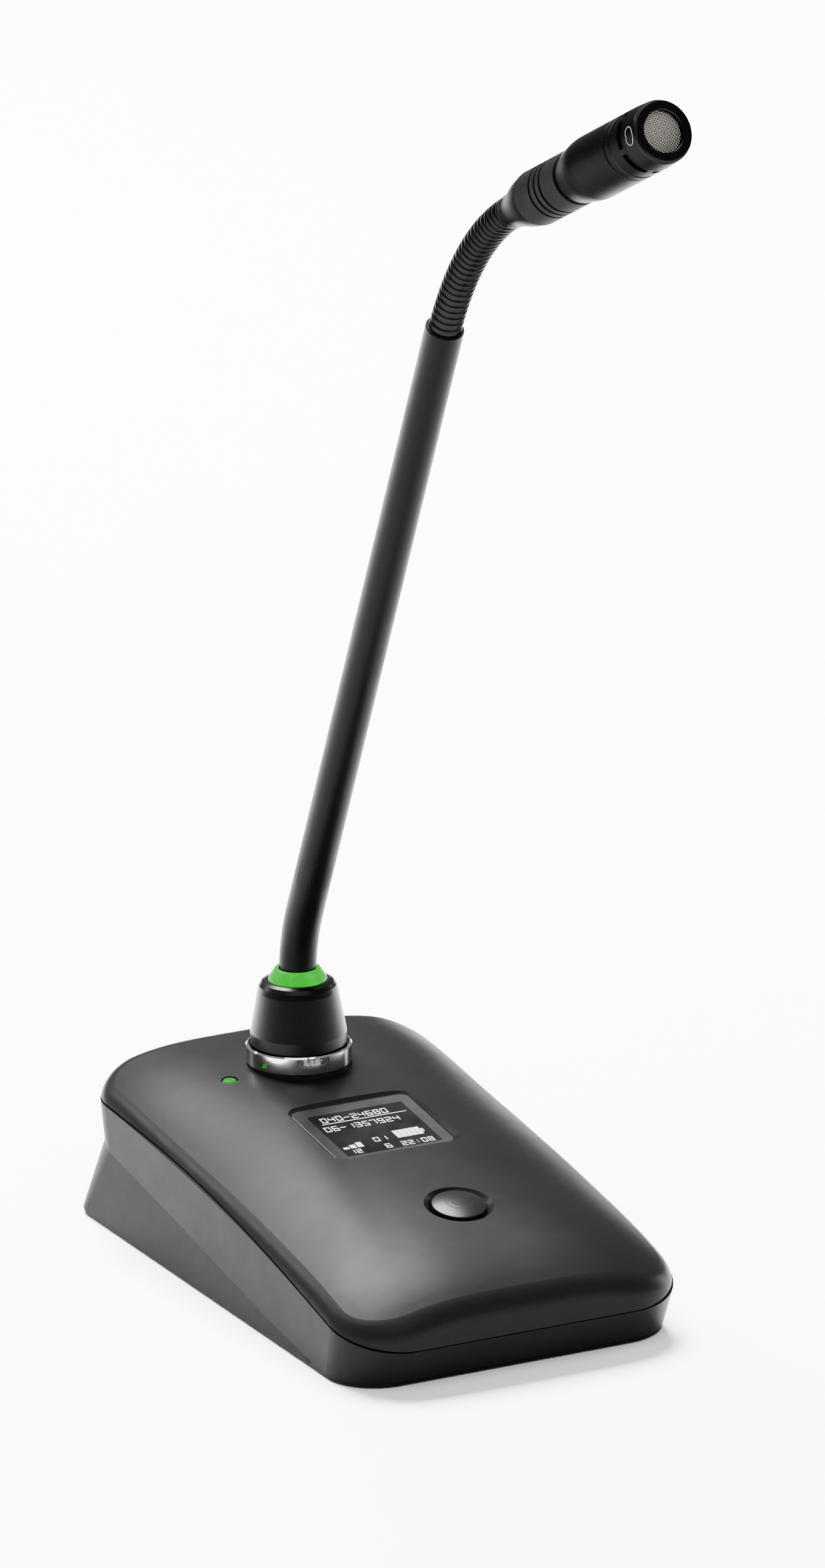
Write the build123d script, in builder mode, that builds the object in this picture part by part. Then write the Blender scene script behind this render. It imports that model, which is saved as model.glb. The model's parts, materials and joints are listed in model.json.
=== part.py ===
"""Wireless desktop gooseneck microphone: weighted base, plug-in gooseneck and condenser head.

Units are millimetres. +Z is up, the person speaking sits on the -Y side and +X is at their
right hand. Every separate piece is built at its own place, with the middle of the base body
over the zero point, and saving moves them all by one offset, so that the files' shared origin
lies on the table under the middle of the whole object.
"""
import os
from math import cos, radians, sin, sqrt

from build123d import *

os.makedirs("parts", exist_ok=True)

# ---------------------------------------------------------------- base body
BODY_W, BODY_L = 71.0, 120.9          # plan size at the parting line
FRONT_R, REAR_R = 13.2, 11.1          # plan corner radii
WALL = 2.2                            # shell thickness
EDGE_R = 5.0                          # roll from the crown into the side walls
PART_GAP = 0.36                       # shadow gap between the two shells
MIDDLE_Y = -23.14                     # middle of the whole object from front to back
RIM_Z = 0.4                           # underside of the body above the table
FOOT_HALF_W, FOOT_REAR_Y = 35.6, 64.8
CREASE_Z0, CREASE_SLOPE = 9.75, 0.178  # plane just above the crease between foot and wall band


def part_z(y):
    """Height of the line where the top shell meets the bottom shell."""
    t = y / 60
    return 20.9 + 8.6 * t - 3.5 * t**2 + 0.35 * t**3


def crown_z(y):
    """Height of the crown along the centre line; it dips a little more towards the front edge."""
    t = y / 60
    return 29.6 + 7.1 * t - 3.5 * t**2 + 0.85 * t**3 - 0.011 * max(0, -y - 44) ** 2


def ease(value, start, stop):
    """Smooth step from 0 at start to 1 at stop."""
    t = min(1.0, max(0.0, (value - start) / (stop - start)))
    return t * t * (3 - 2 * t)


def roll(x, y):
    """How far the crown has fallen away at x from the centre line; the ends are boxier than the middle."""
    boxy = max(ease(y, 5, 52), 0.5 * ease(-y, 15, 60))
    return (4.1 - 1.8 * boxy) * (abs(x) / 28) ** (2.8 + 1.5 * boxy)


def tilted(y, z, tilt):
    """Work plane facing up and toward the talker by tilt degrees."""
    return Plane(origin=(0, y, z), x_dir=(1, 0, 0), z_dir=(0, -sin(radians(tilt)), cos(radians(tilt))))


def save(builder_part, name):
    """Move a finished piece to the shared origin, name it and write its file."""
    piece = builder_part.moved(Location((0, -MIDDLE_Y, 0)))
    piece.label = name
    export_step(piece, f"parts/{name}.step")


def body_outline(inset):
    """Plan outline of the body, drawn in by inset, for the active sketch."""
    Rectangle(BODY_W - 2 * inset, BODY_L - 2 * inset)
    for side, radius in ((0, FRONT_R), (-1, REAR_R)):
        fillet(vertices().group_by(Axis.Y)[side], radius - inset)


def parting_region(shift, upper):
    """Side profile of everything above or below the parting line moved by shift."""
    with BuildSketch(Plane.YZ) as region:
        with BuildLine():
            line = Spline(*[(y, part_z(y) + shift) for y in range(-70, 71, 10)])
            edge = 60 if upper else -10
            Polyline(line @ 1, (70, edge), (-70, edge), line @ 0)
        make_face()
    return region.sketch


def crown_block(inset, edge_r):
    """Cushion-shaped block under the crown, drawn in from the outside by inset."""
    with BuildPart() as block:
        for y in (-66, -54, -40, -22, 0, 20, 38, 52, 66):
            with BuildSketch(Plane.XZ.offset(-y)):
                with BuildLine():
                    top = Spline(*[(x, crown_z(y) - roll(x, y) - inset) for x in range(-39, 40, 6)])
                    Polyline(top @ 1, (39, -25), (-39, -25), top @ 0)
                make_face()
        loft()
        with BuildSketch():
            body_outline(inset)
        extrude(amount=45, mode=Mode.INTERSECT)
        fillet(block.faces().sort_by(Axis.Z)[-1].edges(), edge_r)
        extrude(parting_region(PART_GAP / 2, upper=False), amount=40, both=True, mode=Mode.SUBTRACT)
    return block.part


# ---------------------------------------------------------------- controls on the crown
DECK_TILT = 7.5
deck = tilted(3.6, 29.35, DECK_TILT)       # plane that the display parts are measured from
LENS_W, LENS_L, LENS_T = 25.2, 22.6, 0.8
LENS_DROP = 0.4                            # window face below the deck plane
LENS_V = 0.9                               # window centre up the slope from the deck origin
VIEW_W, VIEW_L = 21.4, 19.4                # opening behind the window
BUTTON_TILT = 11.0
button_plane = tilted(-31.9, 24.75, BUTTON_TILT)   # rim of the button cap
CAP_R, CAP_GAP = 5.2, 0.35
LED_X, LED_Y, LED_R = -16.0, 34.3, 1.35
led_z = crown_z(LED_Y) - roll(LED_X, LED_Y)
BOARD_W0 = -5.0                            # display board face below the window face
BOARD_T = 1.2

# ---------------------------------------------------------------- gooseneck socket
NECK_Y = 36.47
RING_Z0, RING_Z1 = 33.3, 36.9
RING_RO, RING_RI = 10.3, 9.72
SOCKET_R = 9.1
PLUG_R, PLUG_BORE_R = 7.32, 7.4

# ---------------------------------------------------------------- fixings
FOOT_PADS = [(-27, -40), (27, -40), (-27, 46), (27, 46)]
SHELL_SEAT_Z = {-40: 8.4, 46: 18.6}        # screw head seats in the front and rear posts
BOSS_GAP = 3.1                             # post floor thickness under each boss
SHELL_SHANK = 7.4
MAIN_Z, MAIN_T = 13.4, 1.6                 # main board underside and thickness
MAIN_POSTS = [(-18, -37.2), (18, -37.2), (-18, 25.4), (18, 25.4)]
DOOR_W, DOOR_L, DOOR_Y = 44.4, 56.4, -5.5   # battery door and its middle
SWITCH_X, REAR_Z, CHARGE_X = -17.0, 19.0, (13.0, 19.0)
DECK_POSTS = [(-13, -41), (13, -41), (-13, -20), (13, -20)]   # on the display board, deck frame


# ================================================================= top shell
with BuildPart() as top_shell:
    add(crown_block(0, EDGE_R))
    add(crown_block(WALL, EDGE_R - WALL + 1), mode=Mode.SUBTRACT)
    # narrow seat that carries the chrome ring level over the sloping crown
    with BuildSketch(Plane.XY.offset(24)):
        with Locations((0, NECK_Y)):
            Circle(RING_RO - 0.2)
    extrude(amount=RING_Z0 - 24)
    with BuildSketch(Plane.XY.offset(RING_Z0)):
        with Locations((0, NECK_Y)):
            Circle(RING_RO + 0.3)
    extrude(amount=3, mode=Mode.SUBTRACT)
    with BuildSketch(Plane.XY.offset(20)):
        with Locations((0, NECK_Y)):
            Circle(SOCKET_R + 0.1)
    extrude(amount=20, mode=Mode.SUBTRACT)
    # frame under the window, window recess with sloping sides, and the viewing opening
    with BuildSketch(deck.offset(-3.0)):
        with Locations((0, LENS_V)):
            RectangleRounded(LENS_W + 3.6, LENS_L + 3.6, 3)
    extrude(amount=2.4)
    with BuildSketch(deck.offset(-LENS_DROP - LENS_T)):
        with Locations((0, LENS_V)):
            RectangleRounded(LENS_W + 0.1, LENS_L + 0.1, 2.05)
    extrude(amount=LENS_T, mode=Mode.SUBTRACT)
    with BuildSketch(deck.offset(-LENS_DROP)):
        with Locations((0, LENS_V)):
            RectangleRounded(LENS_W + 0.3, LENS_L + 0.3, 2.2)
    extrude(amount=3, taper=-52, mode=Mode.SUBTRACT)
    with BuildSketch(deck.offset(-6)):
        RectangleRounded(VIEW_W, VIEW_L, 1.0)
    extrude(amount=6, mode=Mode.SUBTRACT)
    # button well and button hole
    with BuildSketch(button_plane.offset(-1.1)):
        Circle(CAP_R + CAP_GAP)
    extrude(amount=4, taper=-46, mode=Mode.SUBTRACT)
    with BuildSketch(button_plane.offset(-6)):
        Circle(CAP_R + CAP_GAP)
    extrude(amount=6, mode=Mode.SUBTRACT)
    # power light hole
    with BuildSketch(Plane.XY.offset(25)):
        with Locations((LED_X, LED_Y)):
            Circle(LED_R + 0.28)
    extrude(amount=12, mode=Mode.SUBTRACT)
    # bosses for the four body screws
    for x, y in FOOT_PADS:
        seat = SHELL_SEAT_Z[y] + BOSS_GAP
        with BuildSketch(Plane.XY.offset(seat)):
            with Locations((x, y)):
                Circle(2.9)
        extrude(amount=crown_z(y) - roll(x, y) - WALL + 0.6 - seat)
        with BuildSketch(Plane.XY.offset(seat)):
            with Locations((x, y)):
                Circle(1.5)
        extrude(amount=SHELL_SHANK - BOSS_GAP + 0.4, mode=Mode.SUBTRACT)
    # bosses for the display board
    with BuildSketch(deck.offset(BOARD_W0)):
        with Locations(*DECK_POSTS):
            Circle(2.0)
    extrude(amount=-BOARD_W0 - 1.2)
    with BuildSketch(deck.offset(BOARD_W0)):
        with Locations(*DECK_POSTS):
            Circle(0.95)
    extrude(amount=2.9, mode=Mode.SUBTRACT)
save(top_shell.part, "top_shell")


# ================================================================= bottom shell
def wall_section(plane, half_widths, y_rear, y_front, r_rear, r_front):
    """Outline with slightly bowed sides; half_widths are given at the rear, middle and front."""
    rear, middle, front = half_widths
    y_mid = (y_front + y_rear) / 2
    with BuildSketch(plane) as section:
        with BuildLine():
            Line((-front, y_front), (front, y_front))
            ThreePointArc((front, y_front), (middle, y_mid), (rear, y_rear))
            Line((rear, y_rear), (-rear, y_rear))
            ThreePointArc((-rear, y_rear), (-middle, y_mid), (-front, y_front))
        make_face()
        for side, radius in ((0, r_front), (-1, r_rear)):
            fillet(section.vertices().group_by(Axis.Y)[side], radius)
    return section.sketch


UPPER_SLOPE = 0.154
upper_plane = Plane(origin=(0, 0, 21.6), x_dir=(1, 0, 0), z_dir=(0, -UPPER_SLOPE, 1))
crease_plane = Plane(origin=(0, 0, CREASE_Z0), x_dir=(1, 0, 0), z_dir=(0, -CREASE_SLOPE, 1))
UPPER_STRETCH = sqrt(1 + UPPER_SLOPE**2)
CREASE_STRETCH = sqrt(1 + CREASE_SLOPE**2)
foot_sides = (FOOT_HALF_W, (FOOT_HALF_W + 34.9) / 2 + 0.01, 34.9)
crease_sides = (34.65, 34.56, 34.45)       # inside the wall band, so that foot and band cross below it


def wall_block(inset, floor_z, front_y, rear_y):
    """Solid of the wall band from its floor outline up past the parting line."""
    low = wall_section(Plane.XY.offset(floor_z), (33.5 - inset, 34.3 - inset, 35.0 - inset),
                       rear_y, front_y, 9.5 - inset, 10.5 - inset)
    high = wall_section(upper_plane, (35.85 - inset, 35.55 - inset, 35.6 - inset),
                        (60.7 - inset) * UPPER_STRETCH, (-62.6 + inset) * UPPER_STRETCH,
                        11.2 - inset, 13.4 - inset)
    with BuildPart() as block:
        loft(sections=[low, high], ruled=True)
    return block.part


with BuildPart() as lip:
    # upper half stays inside the hollow of the top shell, lower half is bonded to the wall
    add(crown_block(WALL + 0.12, EDGE_R - WALL + 1))
    extrude(parting_region(1.4, upper=True), amount=40, both=True, mode=Mode.SUBTRACT)
    with BuildSketch():
        body_outline(WALL + 1.3)
    extrude(amount=45, mode=Mode.SUBTRACT)
with BuildPart() as lip_root:
    with BuildSketch():
        body_outline(WALL + 0.12)
    extrude(amount=45)
    with BuildSketch():
        body_outline(WALL + 1.3)
    extrude(amount=45, mode=Mode.SUBTRACT)
    extrude(parting_region(PART_GAP / 2, upper=True), amount=40, both=True, mode=Mode.SUBTRACT)
    extrude(parting_region(-3.2, upper=False), amount=40, both=True, mode=Mode.SUBTRACT)

with BuildPart() as bottom_shell:
    add(wall_block(0, 1.2, -55.9, 58.4))
    # flared foot, from its outline on the table up into the wall band
    foot_low = wall_section(Plane.XY.offset(1.2), foot_sides, FOOT_REAR_Y, -40, 5.0, 2.0)
    foot_high = wall_section(crease_plane, crease_sides, 59.1 * CREASE_STRETCH,
                             -35 * CREASE_STRETCH, 10.9, 2.0)
    loft(sections=[foot_low, foot_high], ruled=True)
    # plain rim round the underside
    extrude(wall_section(Plane.XY.offset(RIM_Z), tuple(w - 0.15 for w in foot_sides),
                         FOOT_REAR_Y - 0.15, -40, 5.0, 2.0), amount=1.2 - RIM_Z)
    extrude(wall_section(Plane.XY.offset(RIM_Z), (33.5, 34.3, 34.9), 58.3, -55.6, 9.5, 10.5),
            amount=1.2 - RIM_Z)
    # cavity, then the upper edge along the parting line
    add(wall_block(WALL + 0.2, 2.6, -52.6, 56.0), mode=Mode.SUBTRACT)
    extrude(parting_region(-PART_GAP / 2, upper=True), amount=40, both=True, mode=Mode.SUBTRACT)
    # locating lip that stands up inside the top shell
    add(lip_root.part)
    add(lip.part)
    # posts for the body screws, standoffs for the main board
    for x, y in FOOT_PADS:
        seat = SHELL_SEAT_Z[y]
        with BuildSketch(Plane.XY.offset(2)):
            with Locations((x, y)):
                Circle(4.4)
        extrude(amount=seat + BOSS_GAP - 0.05 - 2)
    with BuildSketch(Plane.XY.offset(2)):
        with Locations(*MAIN_POSTS):
            Circle(2.4)
    extrude(amount=MAIN_Z - 2)
    for x, y in FOOT_PADS:
        seat = SHELL_SEAT_Z[y]
        with BuildSketch():
            with Locations((x, y)):
                Circle(3.0)
        extrude(amount=seat, mode=Mode.SUBTRACT)
        with BuildSketch():
            with Locations((x, y)):
                Circle(1.6)
        extrude(amount=40, mode=Mode.SUBTRACT)
        with BuildSketch():
            with Locations((x, y)):
                Circle(5.4)
        extrude(amount=1.2, mode=Mode.SUBTRACT)
    with BuildSketch(Plane.XY.offset(MAIN_Z)):
        with Locations(*MAIN_POSTS):
            Circle(0.95)
    extrude(amount=-3.2, mode=Mode.SUBTRACT)
    # battery door opening with a support ledge left and right
    with BuildSketch():
        with Locations((0, DOOR_Y)):
            RectangleRounded(DOOR_W + 0.6, DOOR_L + 0.6, 2.5)
    extrude(amount=3, mode=Mode.SUBTRACT)
    # switch slot and charging contact holes through the rear wall
    with BuildSketch(Plane.XZ.offset(-66)):
        with Locations((SWITCH_X, REAR_Z)):
            SlotOverall(9.4, 3.6)
        with Locations(*[(x, REAR_Z) for x in CHARGE_X]):
            Circle(1.3)
    extrude(amount=12, mode=Mode.SUBTRACT)
save(bottom_shell.part, "bottom_shell")


# ================================================================= fittings of the base
def block(x, y, z0, size, name):
    """Plain cuboid piece standing on z0."""
    with BuildPart() as piece:
        with BuildSketch(Plane.XY.offset(z0)):
            with Locations((x, y)):
                RectangleRounded(size[0], size[1], min(size[0], size[1]) * 0.08)
        extrude(amount=size[2])
    save(piece.part, name)


def turned(frame, points, name=None):
    """Solid of revolution; points are (radius, height) pairs along the frame's own z."""
    along = frame.z_dir
    with BuildPart() as piece:
        with BuildSketch(Plane(origin=frame.origin, x_dir=frame.x_dir, z_dir=frame.x_dir.cross(along))):
            with BuildLine():
                Polyline(*points, close=True)
            make_face()
        revolve(axis=Axis(frame.origin, along))
    if name:
        save(piece.part, name)
    return piece.part


neck_frame = Plane(origin=(0, NECK_Y, 0), x_dir=(1, 0, 0), z_dir=(0, 0, 1))

block(0, 41.2, 2.6, (44.0, 25.6, 6.0), "ballast_plate")
block(0, DOOR_Y, 3.1, (43.4, 55.2, 9.3), "battery_pack")
block(5, -8, MAIN_Z + MAIN_T, (18, 20, 2.4), "rf_shield")
block(0, -43.6, MAIN_Z + MAIN_T, (34, 7.0, 0.8), "antenna")

with BuildPart() as rubber_feet:
    with Locations(*FOOT_PADS):
        Cylinder(5.3, 1.15, align=(Align.CENTER, Align.CENTER, Align.MIN))
save(rubber_feet.part, "rubber_feet")

with BuildPart() as shell_screws:
    for x, y in FOOT_PADS:
        with Locations((x, y, SHELL_SEAT_Z[y])):
            Cylinder(2.7, 2.0, align=(Align.CENTER, Align.CENTER, Align.MAX))
            Cylinder(1.45, SHELL_SHANK, align=(Align.CENTER, Align.CENTER, Align.MIN))
save(shell_screws.part, "shell_screws")

with BuildPart() as main_board:
    with BuildSketch(Plane.XY.offset(MAIN_Z)):
        with Locations((0, -0.6)):
            RectangleRounded(44.6, 81.0, 1.5)
        with Locations(*MAIN_POSTS):
            Circle(1.1, mode=Mode.SUBTRACT)
    extrude(amount=MAIN_T)
save(main_board.part, "main_board")

with BuildPart() as ui_board:
    with BuildSketch(deck.offset(BOARD_W0 - BOARD_T)):
        with Locations((0, -14.6)):
            RectangleRounded(32, 59, 1.5)
        with Locations(*DECK_POSTS):
            Circle(1.1, mode=Mode.SUBTRACT)
    extrude(amount=BOARD_T)
save(ui_board.part, "ui_board")

with BuildPart() as board_screws:
    with BuildSketch(Plane.XY.offset(MAIN_Z + MAIN_T)):
        with Locations(*MAIN_POSTS):
            Circle(1.8)
    extrude(amount=1.2)
    with BuildSketch(Plane.XY.offset(MAIN_Z + MAIN_T)):
        with Locations(*MAIN_POSTS):
            Circle(0.9)
    extrude(amount=-4.0)
    with BuildSketch(deck.offset(BOARD_W0 - BOARD_T)):
        with Locations(*DECK_POSTS):
            Circle(1.8)
    extrude(amount=-1.2)
    with BuildSketch(deck.offset(BOARD_W0 - BOARD_T)):
        with Locations(*DECK_POSTS):
            Circle(0.9)
    extrude(amount=4.0)
save(board_screws.part, "board_screws")

with BuildPart() as display_lens:
    with BuildSketch(deck.offset(-LENS_DROP - LENS_T)):
        with Locations((0, LENS_V)):
            RectangleRounded(LENS_W, LENS_L, 2.0)
    extrude(amount=LENS_T)
    chamfer(display_lens.faces().sort_by(Axis.Z)[-1].edges(), 0.15)
save(display_lens.part, "display_lens")

with BuildPart() as display_module:
    with BuildSketch(deck.offset(BOARD_W0)):
        Rectangle(24.4, 22.8)
    extrude(amount=1.9)
    with BuildSketch(deck.offset(BOARD_W0 + 1.9)):
        Rectangle(VIEW_W - 0.6, VIEW_L - 0.6)
    extrude(amount=-BOARD_W0 - 1.9 - LENS_DROP - LENS_T - 0.05)
save(display_module.part, "display_module")

SWITCH_V = -35.55                            # push switch position up the display board
with BuildPart() as tact_switch:
    with BuildSketch(deck.offset(BOARD_W0)):
        with Locations((0, SWITCH_V)):
            Rectangle(4.6, 4.6)
    extrude(amount=2.1)
    with BuildSketch(deck.offset(BOARD_W0 + 2.1)):
        with Locations((0, SWITCH_V)):
            Circle(1.5)
    extrude(amount=0.7)
save(tact_switch.part, "tact_switch")

CAP_DOME = 0.55
turned(button_plane, [(0, -1.0), (3.9, -1.0), (3.9, -3.1), (6.2, -3.1), (6.2, -2.6), (CAP_R, -2.6),
                      (CAP_R, -0.25), (CAP_R - 0.12, 0.0)]
       + [(r, CAP_DOME * (1 - (r / (CAP_R - 0.1)) ** 2.2)) for r in (4.6, 3.8, 2.8, 1.6, 0.6, 0)],
       "mute_button")

with BuildPart() as power_led:
    with BuildSketch(Plane.XY.offset(MAIN_Z + MAIN_T + 0.8)):
        with Locations((LED_X, LED_Y)):
            Circle(LED_R)
    extrude(amount=led_z - MAIN_Z - MAIN_T - 0.7)
    fillet(power_led.faces().sort_by(Axis.Z)[-1].edges(), 0.4)
save(power_led.part, "power_led")

with BuildPart() as socket_body:
    with BuildSketch(Plane.XY.offset(19.5)):
        with Locations((0, NECK_Y)):
            Circle(SOCKET_R)
    extrude(amount=RING_Z0 - 0.05 - 19.5)
    with BuildSketch(Plane.XY.offset(22.5)):
        with Locations((0, NECK_Y)):
            Circle(PLUG_BORE_R)
    extrude(amount=20, mode=Mode.SUBTRACT)
    with BuildSketch(Plane.XY.offset(19)):
        with Locations((0, NECK_Y)), PolarLocations(4.0, 4, start_angle=45):
            Circle(1.02)
    extrude(amount=5, mode=Mode.SUBTRACT)
save(socket_body.part, "socket_body")

with BuildPart() as socket_contacts:
    with BuildSketch(Plane.XY.offset(17)):
        with Locations((0, NECK_Y)), PolarLocations(4.0, 4, start_angle=45):
            Circle(1.0)
    extrude(amount=9.5)
    with BuildSketch(Plane.XY.offset(23.5)):
        with Locations((0, NECK_Y)), PolarLocations(4.0, 4, start_angle=45):
            Circle(0.68)
    extrude(amount=5, mode=Mode.SUBTRACT)
save(socket_contacts.part, "socket_contacts")

turned(neck_frame, [(7.7, RING_Z0), (RING_RO - 0.2, RING_Z0), (RING_RO, RING_Z0 + 0.2),
                    (RING_RO, RING_Z1 - 0.3), (RING_RO - 0.25, RING_Z1), (RING_RI + 0.05, RING_Z1),
                    (RING_RI, RING_Z1 - 0.1), (RING_RI, 34.3), (7.7, 34.3)], "chrome_ring")

with BuildPart() as battery_contacts:
    with BuildSketch(Plane.XY.offset(2.6)):
        with Locations((0, 24.4)):
            Rectangle(16, 2.0)
    extrude(amount=6.4)
    with BuildSketch(Plane.XY.offset(4.5)):
        with Locations((-5, 22.8), (0, 22.8), (5, 22.8)):
            Rectangle(2.0, 1.3)
    extrude(amount=3.0)
save(battery_contacts.part, "battery_contacts")

with BuildPart() as battery_door:
    with BuildSketch(Plane.XY.offset(0.5)):
        with Locations((0, DOOR_Y)):
            RectangleRounded(DOOR_W, DOOR_L, 2.2)
    extrude(amount=1.8)
    with BuildSketch(Plane.XY.offset(0.5)):
        with Locations(*[(0, DOOR_Y - 22 + 2.2 * i) for i in range(4)]):
            SlotOverall(16, 1.0)
    extrude(amount=0.5, mode=Mode.SUBTRACT)
save(battery_door.part, "battery_door")

block(SWITCH_X, 55.0, REAR_Z - 2.4, (10, 3.8, 4.8), "slide_switch")

with BuildPart() as power_switch:
    with BuildSketch(Plane.XZ.offset(-57.3)):
        with Locations((SWITCH_X - 2.5, REAR_Z)):
            RectangleRounded(3.6, 3.0, 0.8)
    extrude(amount=-3.0)
save(power_switch.part, "power_switch")

with BuildPart() as charge_contacts:
    with BuildSketch(Plane.XZ.offset(-55.9)):
        with Locations(*[(x, REAR_Z) for x in CHARGE_X]):
            Circle(2.0)
    extrude(amount=-1.1)
    with BuildSketch(Plane.XZ.offset(-57.0)):
        with Locations(*[(x, REAR_Z) for x in CHARGE_X]):
            Circle(1.2)
    extrude(amount=-2.6)
save(charge_contacts.part, "charge_contacts")


# ================================================================= gooseneck
LOWER_R, LOWER_DOME, LOWER_CUP = 3.65, 3.85, 4.15     # sleeved lower flex
UPPER_R, UPPER_DOME, UPPER_CUP = 3.1, 3.3, 3.6        # bare corrugated upper flex
WIRE_R = 1.2                                          # bore for the wires
LOWER_PITCH, UPPER_PITCH = 4.0, 4.614
LOWER_BENDS = [8.0, 7.0, 6.0, 5.08, 0.0, 0.0]         # resting bend at each lower joint, degrees
UPPER_BENDS = [2.66 + 0.385 * i for i in range(9)]    # resting bend at each upper joint, degrees
TUBE_L = 138.888
UPPER_AXIS = Vector(0.99374, 0.10039, 0.04917)        # the upper flex bends about this line
PIVOT_Z = 51.6                                        # first joint above the table


def bent(frame, axis, angle):
    """Frame turned about a line through its own origin."""
    turned_z = frame.z_dir.rotate(Axis((0, 0, 0), axis), angle)
    return Plane(origin=frame.origin, x_dir=axis, z_dir=turned_z)


def chain(frame, axis, bends, pitch):
    """Frames of a row of links: one pivot per entry in bends, each link one pitch long."""
    frames = []
    for angle in bends:
        frame = bent(frame, axis, angle)
        frames.append(frame)
        frame = Plane(origin=frame.origin + frame.z_dir * pitch, x_dir=frame.x_dir, z_dir=frame.z_dir)
    return frames


def on_ball(rho, radius, height=0.0):
    """Point of the given radius on a ball of radius rho centred at height."""
    return (radius, height + sqrt(rho**2 - radius**2))


def flex_link(frame, pitch, dome, cup, outer):
    """Hollow link: a cup about its own pivot and a dome about the next one."""
    low_r, high_r = outer[0][0], outer[-1][0]
    with BuildPart() as link:
        side = Plane(origin=frame.origin, x_dir=frame.x_dir, z_dir=frame.x_dir.cross(frame.z_dir))
        with BuildSketch(side):
            with BuildLine():
                ThreePointArc(on_ball(cup, WIRE_R), on_ball(cup, (WIRE_R + low_r) / 2), on_ball(cup, low_r))
                Polyline(on_ball(cup, low_r), *outer[1:-1], on_ball(dome, high_r, pitch))
                ThreePointArc(on_ball(dome, high_r, pitch), on_ball(dome, (WIRE_R + high_r) / 2, pitch),
                              on_ball(dome, WIRE_R, pitch))
                Line(on_ball(dome, WIRE_R, pitch), on_ball(cup, WIRE_R))
            make_face()
        revolve(axis=Axis(frame.origin, frame.z_dir))
    return link.part


lower = chain(Plane(origin=(0, NECK_Y, PIVOT_Z), x_dir=(1, 0, 0), z_dir=(0, 0, 1)),
              Vector(1, 0, 0), LOWER_BENDS, LOWER_PITCH)
tube = lower[5]
tube_end = Plane(origin=tube.origin + tube.z_dir * TUBE_L, x_dir=UPPER_AXIS, z_dir=tube.z_dir)
upper = chain(tube_end, UPPER_AXIS, UPPER_BENDS, UPPER_PITCH)
head = upper[8]

# plug, boot and light ring
with BuildPart() as plug_body:
    add(turned(neck_frame, [(0, 27), (7.0, 27), (PLUG_R, 27.4), (PLUG_R, 34.7), (8.3, 34.7), (8.3, 40.0),
                            (2.0, 40.0), (2.0, 31.5), (0, 31.5)]))
    with BuildSketch(Plane.XY.offset(26)):
        with Locations((0, NECK_Y)), PolarLocations(4.0, 4, start_angle=45):
            Circle(0.62)
    extrude(amount=5.2, mode=Mode.SUBTRACT)
save(plug_body.part, "plug_body")

with BuildPart() as plug_pins:
    with BuildSketch(Plane.XY.offset(24.2)):
        with Locations((0, NECK_Y)), PolarLocations(4.0, 4, start_angle=45):
            Circle(0.6)
    extrude(amount=7.0)
save(plug_pins.part, "plug_pins")

turned(neck_frame, [(8.4, 34.7), (9.1, 34.7), (9.37, 35.0), (9.37, 39.3), (7.85, 47.6), (7.55, 48.7),
                    (7.0, 49.4), (6.2, 49.75), (4.85, 49.75), (4.85, 47.3), (6.7, 47.3), (6.7, 40.1),
                    (8.4, 40.1)], "boot")
turned(neck_frame, [(3.78, 47.3), (4.8, 47.3), (4.8, 49.8), (5.74, 49.8), (5.6, 50.3), (4.45, 52.0),
                    (4.2, 52.1), (3.78, 52.1)], "light_ring")
turned(neck_frame, [(3.8, 46.1), (6.6, 46.1), (6.6, 47.1), (3.8, 47.1)], "ring_board")

with BuildPart() as neck_root:
    with BuildSketch(Plane(origin=(0, NECK_Y, PIVOT_Z), x_dir=(1, 0, 0), z_dir=(0, -1, 0))):
        with BuildLine():
            low = 40.1 - PIVOT_Z
            Polyline((WIRE_R, low), (6.6, low), (6.6, low + 1.5), (LOWER_R, low + 1.5),
                     on_ball(LOWER_DOME, LOWER_R))
            ThreePointArc(on_ball(LOWER_DOME, LOWER_R), on_ball(LOWER_DOME, 2.4), on_ball(LOWER_DOME, WIRE_R))
            Line(on_ball(LOWER_DOME, WIRE_R), (WIRE_R, low))
        make_face()
    revolve(axis=Axis((0, NECK_Y, 0), (0, 0, 1)))
save(neck_root.part, "neck_root")

for i in range(5):
    save(flex_link(lower[i], LOWER_PITCH, LOWER_DOME, LOWER_CUP,
                   [(LOWER_R, 0), (LOWER_R, 3), (LOWER_R, 0)]), f"lower_link_{i + 1}")

# rigid tube with its sleeve, end collar and cable
SLEEVE_START, COLLAR_L = 8.0, 8.0
sleeve_end = TUBE_L + 0.5
save(flex_link(tube, TUBE_L, UPPER_DOME, LOWER_CUP,
               [(LOWER_R, 0), (LOWER_R, SLEEVE_START), (3.0, SLEEVE_START), (3.0, TUBE_L - 9),
                (UPPER_R - 0.05, TUBE_L - 8.8), (UPPER_R - 0.05, 0)]), "neck_tube")
turned(tube, [(3.02, SLEEVE_START), (LOWER_R, SLEEVE_START), (LOWER_R, sleeve_end - COLLAR_L),
              (3.02, sleeve_end - COLLAR_L - 3)], "tube_sleeve")
turned(tube, [(3.1, sleeve_end - COLLAR_L), (LOWER_R + 0.03, sleeve_end - COLLAR_L),
              (LOWER_R + 0.03, sleeve_end - 0.3), (LOWER_R - 0.25, sleeve_end),
              (3.1, sleeve_end)], "tube_collar")
turned(tube, [(0, 9), (1.0, 9), (1.0, TUBE_L - 6), (0, TUBE_L - 6)], "signal_cable")

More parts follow.
